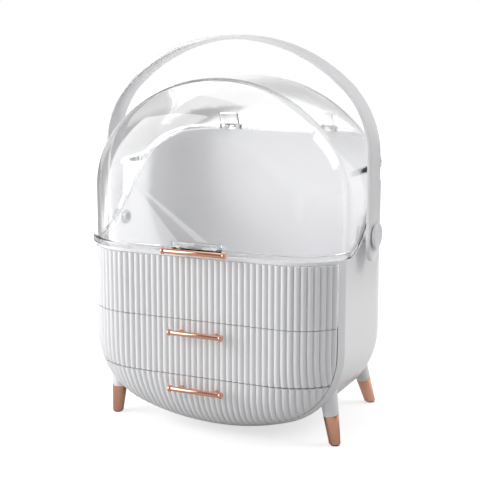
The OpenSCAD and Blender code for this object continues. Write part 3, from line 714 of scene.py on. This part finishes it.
class ORGANISER_OT_screws(bpy.types.Operator):
    """Turn the screws of the pulls, with a cross recess in each head"""

    bl_idname = "organiser.screws"
    bl_label = "Pull Screws"

    def execute(self, context):
        ware = context.scene.organiser_hardware
        for node in ("upper_pull_screws", "lower_pull_screws", "cover_pull_screws"):
            place = (low(node).z + high(node).z) / 2
            head = size(node).z / 2
            start, end = low(node).y, high(node).y
            x = high(node).x - head
            first = self.screw(ware, head, end - start)
            screws = [first, copied(first)]
            for screw, side in zip(screws, (-1, 1)):
                aim(screw, (side * x, start, place), (0, 1, 0))
            settle(joined(screws), node + "_turned", node)
        return {"FINISHED"}

    def screw(self, ware, head, length):
        """A screw with a chamfered tip and a domed head with a cross cut into it."""
        shank, neck = ware.shank_radius, length - ware.head_height
        chamfer, turn = 0.3 * MM, 0.55 * MM
        profile = [(0, 0), (shank - chamfer, 0), (shank, chamfer), (shank, neck)]
        profile += [(head - 0.2 * MM, neck)]
        profile += arc_points((head - turn, length - turn), turn, 0, 70, 4)
        profile += [(0, length)]
        obj = turned(profile, 32)
        for angle in (0, 90):
            clear_selection()
            bpy.ops.mesh.primitive_cube_add(
                size=1, location=(0, 0, length), rotation=(0, 0, math.radians(angle)))
            slot = bpy.context.object
            slot.scale = (head * 1.1, 0.6 * MM, 1.6 * MM)
            apply_modifier(obj, "BOOLEAN", object=slot, operation="DIFFERENCE", solver="EXACT")
            bpy.data.objects.remove(slot)
        only(obj)
        bpy.ops.object.shade_smooth_by_angle(angle=math.radians(30))
        return obj


# ---------------------------------------------------------------- feet


class ORGANISER_OT_feet(bpy.types.Operator):
    """Turn the plated sleeves and the rubber pads, and round the moulded stubs"""

    bl_idname = "organiser.feet"
    bl_label = "Feet"

    def execute(self, context):
        ware = context.scene.organiser_hardware
        right = [self.sleeve(ware, Vector(ware.front_foot), Vector(ware.front_leg_top)),
                 self.sleeve(ware, Vector(ware.rear_foot), Vector(ware.rear_leg_top))]
        left = [mirrored(sleeve) for sleeve in right]
        settle(joined(right + left), "leg_sleeves_turned", "leg_sleeves")
        pads = [self.pad(ware, side * foot[0], foot[1]) for side in (-1, 1)
                for foot in (ware.front_foot, ware.rear_foot)]
        settle(joined(pads), "foot_pads_turned", "foot_pads")
        settle(softened("leg_stubs", 0.3 * MM, 2, 60), "leg_stubs_rounded", "leg_stubs")
        return {"FINISHED"}

    def sleeve(self, ware, foot, top):
        """A tapered sleeve along the leg's axis, cut level above its pad and rounded there."""
        flare = (ware.sleeve_radius - ware.foot_radius) / ware.sleeve_length
        below, lip = 3 * MM, 0.35 * MM
        end = ware.sleeve_length
        profile = [(0, -below), (ware.foot_radius - flare * below, -below)]
        profile += [(ware.foot_radius + flare * (end - lip), end - lip)]
        profile += [(ware.sleeve_radius - lip * 0.3, end - lip * 0.3)]
        profile += [(ware.sleeve_radius - lip, end), (0, end)]
        obj = aim(turned(profile, 64), foot, top - foot)
        cut = high("foot_pads").z
        only(obj)
        bpy.ops.object.mode_set(mode="EDIT")
        bpy.ops.mesh.select_all(action="SELECT")
        bpy.ops.mesh.bisect(plane_co=(0, 0, cut), plane_no=(0, 0, 1), use_fill=True, clear_inner=True)
        bpy.ops.mesh.select_all(action="DESELECT")
        bpy.ops.object.mode_set(mode="OBJECT")
        for edge in obj.data.edges:
            edge.select = all(abs(obj.data.vertices[i].co.z - cut) < TINY for i in edge.vertices)
        bpy.ops.object.mode_set(mode="EDIT")
        bpy.ops.mesh.select_mode(type="EDGE")
        bpy.ops.mesh.bevel(offset=ware.foot_rounding, segments=4, affect="EDGES")
        bpy.ops.object.mode_set(mode="OBJECT")
        clean(obj)
        return obj

    def pad(self, ware, x, y):
        height, radius, turn = size("foot_pads").z, ware.pad_radius, 0.3 * MM
        profile = [(0, 0)] + arc_points((radius - turn, turn), turn, -90, 0, 3)
        profile += [(radius, height), (0, height)]
        return aim(turned(profile, 32), (x, y, 0), (0, 0, 1))


# ---------------------------------------------------------------- handle


class ORGANISER_OT_handle(bpy.types.Operator):
    """Round the edges of the carry handle and turn its two pivot caps"""

    bl_idname = "organiser.handle"
    bl_label = "Carry Handle"

    def execute(self, context):
        ware = context.scene.organiser_hardware
        settle(softened("carry_handle", 1.0 * MM, 3, 50), "carry_handle_rounded", "carry_handle")
        right = self.cap(ware)
        settle(joined([right, mirrored(right)]), "pivot_caps_turned", "pivot_caps")
        return {"FINISHED"}

    def cap(self, ware):
        """A button with a crowned face and a recess under its edge, on its stem."""
        handle_x, outer = high("carry_handle").x, high("pivot_caps").x
        inner = outer - ware.stem_length
        centre_y = (low("pivot_caps").y + high("pivot_caps").y) / 2
        centre_z = (low("pivot_caps").z + high("pivot_caps").z) / 2
        radius, stem = size("pivot_caps").z / 2, ware.stem_radius
        seat = handle_x + 0.1 * MM - inner
        top = outer - inner
        rim = seat + 1.2 * MM
        back_turn, face_turn, crown = 0.6 * MM, 1.0 * MM, 0.2 * MM
        profile = [(0, 0), (stem, 0), (stem, seat), (ware.cap_neck, seat), (ware.cap_neck, rim)]
        profile += [(radius - back_turn, rim)]
        profile += arc_points((radius - back_turn, rim + back_turn), back_turn, -60, 0, 3)
        profile += arc_points((radius - face_turn, top - face_turn - crown), face_turn, 0, 80, 5)
        profile += [(radius * 0.6, top - crown / 4), (0, top)]
        return aim(turned(profile, 72), (inner, centre_y, centre_z), (1, 0, 0))


# ---------------------------------------------------------------- cover and moulded pieces


class ORGANISER_OT_cover(bpy.types.Operator):
    """Ease the crease of the clear cover and polish its edges, so that they catch the light"""

    bl_idname = "organiser.cover"
    bl_label = "Clear Cover"

    CUTS = 5  # rings of points on each side of the crease
    CUTS_IN_WIDTH = 4.5  # spacings of the rings in the half width of the soft crease
    DEEPEST = 8 * MM  # more than the depth of the cover's skins under the outline

    def execute(self, context):
        shape = context.scene.organiser_shape
        cover = softened("cover", 0.4 * MM)
        outline = Outline(shape)
        crease_y = outline.fillet_y - math.sqrt(outline.fillet ** 2 - outline.inset ** 2)
        spacing = shape.crease_width / self.CUTS_IN_WIDTH
        only(cover)
        bpy.ops.object.mode_set(mode="EDIT")
        for cut in range(-self.CUTS, self.CUTS + 1):
            bpy.ops.mesh.select_all(action="SELECT")
            bpy.ops.mesh.bisect(plane_co=(0, crease_y + cut * spacing, 0), plane_no=(0, 1, 0))
        bpy.ops.mesh.select_all(action="DESELECT")
        bpy.ops.object.mode_set(mode="OBJECT")
        for vertex in cover.data.vertices:
            self.ease(shape, outline, vertex)
        clean(cover, 30)
        settle(cover, "cover_polished", "cover")
        return {"FINISHED"}

    def ease(self, shape, outline, vertex):
        """Moves a point near the crease between front and sides onto a gentle curve."""
        across, out = self.arch(shape, outline, vertex.co)
        depth = outline.inset - across
        if vertex.co.y < outline.fillet_y:
            depth = min(depth, outline.fillet - math.hypot(across, vertex.co.y - outline.fillet_y))
        if across < 0 or depth > self.DEEPEST:
            return
        long, short = outline.fillet - depth, outline.inset - depth
        run = math.sqrt(long * long - short * short)
        step = abs(vertex.co.y - outline.fillet_y + run) / shape.crease_width
        if step < 1:
            move = run / short * shape.crease_width / 4 * (1 - step) ** 2
            vertex.co.x -= out[0] * move
            vertex.co.z -= out[1] * move

    def arch(self, shape, outline, place):
        """How far a point lies out from the start of the front rounding, and the direction out."""
        side_x = outline.half - shape.arch_radius
        flatter = shape.arch_top_radius - shape.arch_radius
        top_z = shape.spring_height - math.sqrt(flatter ** 2 - side_x ** 2)
        if place.z <= shape.spring_height:
            return abs(place.x) - outline.flat_half, (math.copysign(1, place.x), 0)
        for x, z, radius in ((0, top_z, shape.arch_top_radius),
                             (math.copysign(side_x, place.x), shape.spring_height, shape.arch_radius)):
            far = math.hypot(place.x - x, place.z - z)
            out = ((place.x - x) / far, (place.z - z) / far)
            if x or abs(out[0]) < side_x / flatter:
                return far - radius + outline.inset, out


class ORGANISER_OT_moulded_pieces(bpy.types.Operator):
    """Round the edges of the trays, decks, stops, runners and hinge pieces"""

    bl_idname = "organiser.moulded_pieces"
    bl_label = "Moulded Pieces"

    ROUNDED = {
        "upper_tray": 0.5, "lower_tray": 0.5, "upper_deck": 0.4, "lower_deck": 0.4, "drawer_stops": 0.4,
        "upper_runners": 0.3, "cover_pull_plate": 0.5, "hinge_brackets": 0.35, "hinge_tabs": 0.3,
        "pivot_bosses": 0.3, "pivot_nuts": 0.4,
    }

    def execute(self, context):
        for node, width in self.ROUNDED.items():
            settle(softened(node, width * MM), node + "_rounded", node)
        return {"FINISHED"}


# ---------------------------------------------------------------- frame finishes


class ORGANISER_OT_finishes(bpy.types.Operator):
    """Build the finishes and put them on the construction's own pieces"""

    bl_idname = "organiser.finishes"
    bl_label = "Finishes"

    def execute(self, context):
        finish = context.scene.organiser_finish
        FINISHES.update({
            "white": plastic("Satin White", finish.white, 0.3, 0.03, 900.0, 0.25),
            "inner_white": plastic("Matt White", finish.inner_white, 0.5, 0.03, 500.0, 0.0),
            "clear": clear_plastic("Clear Cover", finish.clear),
            "copper": metal(
                "Rose Gold Plating", finish.copper, 0.12, (60.0, 2200.0, 2200.0), 0.08, 0.08),
            "steel": metal("Zinc Plating", finish.steel, 0.3, (900.0, 900.0, 900.0), 0.15, 0.1),
            "rubber": plastic("Foot Rubber", finish.rubber, 0.8, 0.2, 1500.0, 0.0),
        })
        for name, obj in frame["nodes"].items():
            for slot in obj.material_slots:
                slot.material = FINISHES[SLOT_OF[name]]
        return {"FINISHED"}


# ---------------------------------------------------------------- stage


class ORGANISER_OT_stage(bpy.types.Operator):
    """Set up the pale floor, the soft studio light and the camera"""

    bl_idname = "organiser.stage"
    bl_label = "Stage"

    LAMPS = (  # name, place, width, setting of its power
        ("Left", (-1.03, -0.82, 0.55), 1.1, "left_power"),
        ("Right", (0.9, 0.35, 0.95), 0.7, "right_power"),
        ("Top", (-0.2, 0.15, 1.7), 1.3, "top_power"),
    )
    AIM = Vector((0, 0, 0.18))
    TO_PAPER = (-0.34, 0.94, 0.0)  # from the organiser to the middle of the paper backdrop
    ALONG_PAPER = (0.94, 0.34, 0.0)
    BACK = (0.0, 1.0, 0.0)
    UP = (0.0, 0.0, 1.0)

    def execute(self, context):
        stage = context.scene.organiser_stage
        context.scene.view_settings.view_transform = "Standard"
        self.floor()
        self.room(context.scene, stage)
        for name, place, width, power in self.LAMPS:
            self.lamp(name, place, width, getattr(stage, power))
        clear_selection()
        bpy.ops.object.camera_add(
            location=stage.camera_place,
            rotation=(math.pi / 2 - stage.camera_tilt, 0, stage.camera_turn))
        camera = context.object
        camera.data.lens = stage.lens
        camera.data.clip_end = 50
        context.scene.camera = camera
        return {"FINISHED"}

    def floor(self):
        """A pale floor, lifted to white where it is seen, so that it keeps the soft shadow."""
        clear_selection()
        bpy.ops.mesh.primitive_plane_add(size=14, location=(0, 0, 0))
        floor = bpy.context.object
        floor.name = floor.data.name = "studio_floor"
        material, tree, shader, vector = start_material("Studio Floor")
        grain = add_noise(tree, vector, 40.0)
        shader.inputs["Base Color"].default_value = (0.58, 0.58, 0.58, 1)
        shader.inputs["Specular IOR Level"].default_value = 0.0
        tree.links.new(add_math(tree, "MULTIPLY_ADD", grain, 0.1, 0.85), shader.inputs["Roughness"])
        sweep = add_ramp(tree, add_length(tree, vector), (0.3, 1.1), (0.64, 1.0))
        across = add_math(tree, "ABSOLUTE", add_along(tree, vector, self.ALONG_PAPER))
        beyond = add_along(tree, vector, self.BACK)
        paper = add_math(tree, "MULTIPLY", add_ramp(tree, across, (0.45, 0.7), (1.0, 0.1)),
                         add_ramp(tree, beyond, (0.0, 0.25), (0.0, 1.0)))
        path = tree.nodes.new("ShaderNodeLightPath")
        near = add_ramp(tree, across, (0.25, 0.6), (1.0, 0.15))
        seen = add_math(tree, "MULTIPLY_ADD", path.outputs["Is Glossy Ray"], paper,
                        path.outputs["Is Camera Ray"])
        seen = add_math(tree, "MULTIPLY_ADD", path.outputs["Is Transmission Ray"], near, seen)
        shader.inputs["Emission Color"].default_value = (1, 1, 1, 1)
        tree.links.new(add_math(tree, "MULTIPLY", seen, sweep), shader.inputs["Emission Strength"])
        floor.data.materials.append(material)

    def room(self, scene, stage):
        """An even room, white where it is seen; metal and clear pieces show white paper in a dim room."""
        world = bpy.data.worlds.new("Studio Room")
        world.use_nodes = True
        scene.world = world
        tree = world.node_tree
        backdrop = next(node for node in tree.nodes if node.type == "BACKGROUND")
        place = tree.nodes.new("ShaderNodeTexCoord")
        direction = place.outputs["Generated"]
        facing = add_along(tree, direction, self.TO_PAPER)
        either_way = add_math(tree, "ABSOLUTE", facing)
        below = add_ramp(tree, add_along(tree, direction, self.UP), (0.1, 0.32), (1.0, 0.0))
        behind = add_math(tree, "MULTIPLY", below, add_ramp(tree, facing, (0.8, 0.92), (0.0, 1.0)))
        through = add_math(tree, "MULTIPLY", below, add_ramp(tree, either_way, (0.55, 0.92), (0.0, 1.0)))
        path = tree.nodes.new("ShaderNodeLightPath")
        strength = stage.sky
        for ray, paper, dim in (("Is Glossy Ray", behind, stage.dark_room),
                                ("Is Transmission Ray", through, stage.dim_room)):
            shown = add_math(tree, "MULTIPLY_ADD", paper, 1.0 - dim, dim)
            strength = self.mixed(tree, path.outputs[ray], strength, shown)
        strength = self.mixed(tree, path.outputs["Is Camera Ray"], strength, 1.0)
        tree.links.new(strength, backdrop.inputs["Strength"])
        backdrop.inputs["Color"].default_value = (1, 1, 1, 1)

    def mixed(self, tree, choice, no, yes):
        """One number or the other, by a mask that is 0 or 1."""
        change = add_math(tree, "SUBTRACT", yes, no)
        return add_math(tree, "MULTIPLY_ADD", choice, change, no)

    def lamp(self, name, place, width, power):
        clear_selection()
        bpy.ops.object.light_add(type="AREA", location=place)
        lamp = bpy.context.object
        lamp.name = name + " Lamp"
        lamp.data.shape = "SQUARE"
        lamp.data.size = width
        lamp.data.energy = power
        lamp.rotation_euler = (self.AIM - Vector(place)).to_track_quat("-Z", "Y").to_euler()


class ORGANISER_PT_dressing(bpy.types.Panel):
    """Lists the steps that dress the organiser"""

    bl_label = "Organiser"
    bl_idname = "ORGANISER_PT_dressing"
    bl_space_type = "VIEW_3D"
    bl_region_type = "UI"
    bl_category = "Organiser"

    def draw(self, context):
        for operator in OPERATORS:
            self.layout.operator(operator.bl_idname)
        scene = context.scene
        for settings in (scene.organiser_shape, scene.organiser_hardware, scene.organiser_finish,
                         scene.organiser_stage):
            box = self.layout.box()
            for name in settings.__annotations__:
                box.prop(settings, name)


GROUP_CLASSES = (OrganiserShape, OrganiserHardware, OrganiserFinish, OrganiserStage)
OPERATORS = (
    ORGANISER_OT_finishes,
    ORGANISER_OT_fluted_fronts,
    ORGANISER_OT_pulls,
    ORGANISER_OT_screws,
    ORGANISER_OT_feet,
    ORGANISER_OT_handle,
    ORGANISER_OT_cover,
    ORGANISER_OT_moulded_pieces,
    ORGANISER_OT_stage,
)
CLASSES = GROUP_CLASSES + OPERATORS + (ORGANISER_PT_dressing,)


def register():
    for cls in CLASSES:
        bpy.utils.register_class(cls)
    bpy.types.Scene.organiser_shape = PointerProperty(type=OrganiserShape)
    bpy.types.Scene.organiser_hardware = PointerProperty(type=OrganiserHardware)
    bpy.types.Scene.organiser_finish = PointerProperty(type=OrganiserFinish)
    bpy.types.Scene.organiser_stage = PointerProperty(type=OrganiserStage)


def unregister():
    del bpy.types.Scene.organiser_stage
    del bpy.types.Scene.organiser_finish
    del bpy.types.Scene.organiser_hardware
    del bpy.types.Scene.organiser_shape
    for cls in reversed(CLASSES):
        bpy.utils.unregister_class(cls)


def main():
    register()
    for operator in OPERATORS:
        group, name = operator.bl_idname.split(".")
        getattr(getattr(bpy.ops, group), name)()
    clear_selection()


if __name__ == "__main__":
    main()
